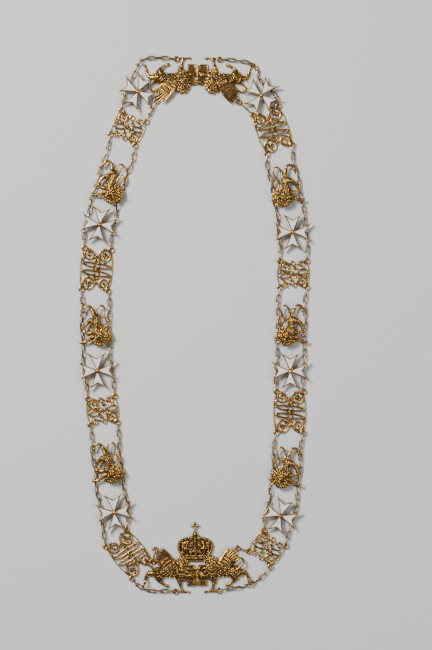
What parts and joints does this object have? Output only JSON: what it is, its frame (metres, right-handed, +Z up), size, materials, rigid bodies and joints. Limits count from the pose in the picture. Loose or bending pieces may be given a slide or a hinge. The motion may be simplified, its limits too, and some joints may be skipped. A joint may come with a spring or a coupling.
{
  "type": "order collar",
  "caption": "Order collar lying flat: two gilt chain strands carry enamelled crosses, openwork scroll links and crowned lions between two pieces of paired winged lions.",
  "frame": {"origin": "on the surface that the collar lies on, under the middle of its outline", "axes": "+X across the collar to the wearer's left as it lies face up, +Y towards the back piece, +Z up out of its face"},
  "size_m": [0.232, 0.5382, 0.0111],
  "materials": {
    "antique_gilt": "cast and chased gilt metal, dark in the hollows",
    "chain_gilt": "gilt wire links, worn bright",
    "white_enamel": "fired white enamel, glossy"
  },
  "bodies": {
    "root": {"arrow_bundle_back": "antique_gilt", "arrow_bundle_front": "antique_gilt", "chain_left_1_inner": "chain_gilt", "chain_left_1_outer": "chain_gilt", "chain_left_2_inner": "chain_gilt", "chain_left_2_outer": "chain_gilt", "chain_left_3_inner": "chain_gilt", "chain_left_3_outer": "chain_gilt", "chain_left_4_inner": "chain_gilt", "chain_left_4_outer": "chain_gilt", "chain_left_5_inner": "chain_gilt", "chain_left_5_outer": "chain_gilt", "chain_right_1_inner": "chain_gilt", "chain_right_1_outer": "chain_gilt", "chain_right_2_inner": "chain_gilt", "chain_right_2_outer": "chain_gilt", "chain_right_3_inner": "chain_gilt", "chain_right_3_outer": "chain_gilt", "chain_right_4_inner": "chain_gilt", "chain_right_4_outer": "chain_gilt", "chain_right_5_inner": "chain_gilt", "chain_right_5_outer": "chain_gilt", "cross_enamel_left_1": "white_enamel", "cross_enamel_left_2": "white_enamel", "cross_enamel_left_3": "white_enamel", "cross_enamel_left_4": "white_enamel", "cross_enamel_right_1": "white_enamel", "cross_enamel_right_2": "white_enamel", "cross_enamel_right_3": "white_enamel", "cross_enamel_right_4": "white_enamel", "cross_mount_left_1": "antique_gilt", "cross_mount_left_2": "antique_gilt", "cross_mount_left_3": "antique_gilt", "cross_mount_left_4": "antique_gilt", "cross_mount_right_1": "antique_gilt", "cross_mount_right_2": "antique_gilt", "cross_mount_right_3": "antique_gilt", "cross_mount_right_4": "antique_gilt", "crown": "antique_gilt", "crowned_lion_left_1": "antique_gilt", "crowned_lion_left_2": "antique_gilt", "crowned_lion_left_3": "antique_gilt", "crowned_lion_right_1": "antique_gilt", "crowned_lion_right_2": "antique_gilt", "crowned_lion_right_3": "antique_gilt", "scroll_link_left_1": "antique_gilt", "scroll_link_left_2": "antique_gilt", "scroll_link_left_3": "antique_gilt", "scroll_link_left_4": "antique_gilt", "scroll_link_right_1": "antique_gilt", "scroll_link_right_2": "antique_gilt", "scroll_link_right_3": "antique_gilt", "scroll_link_right_4": "antique_gilt", "winged_lion_back_left": "antique_gilt", "winged_lion_back_right": "antique_gilt", "winged_lion_front_left": "antique_gilt", "winged_lion_front_right": "antique_gilt"}
  },
  "joints": []
}
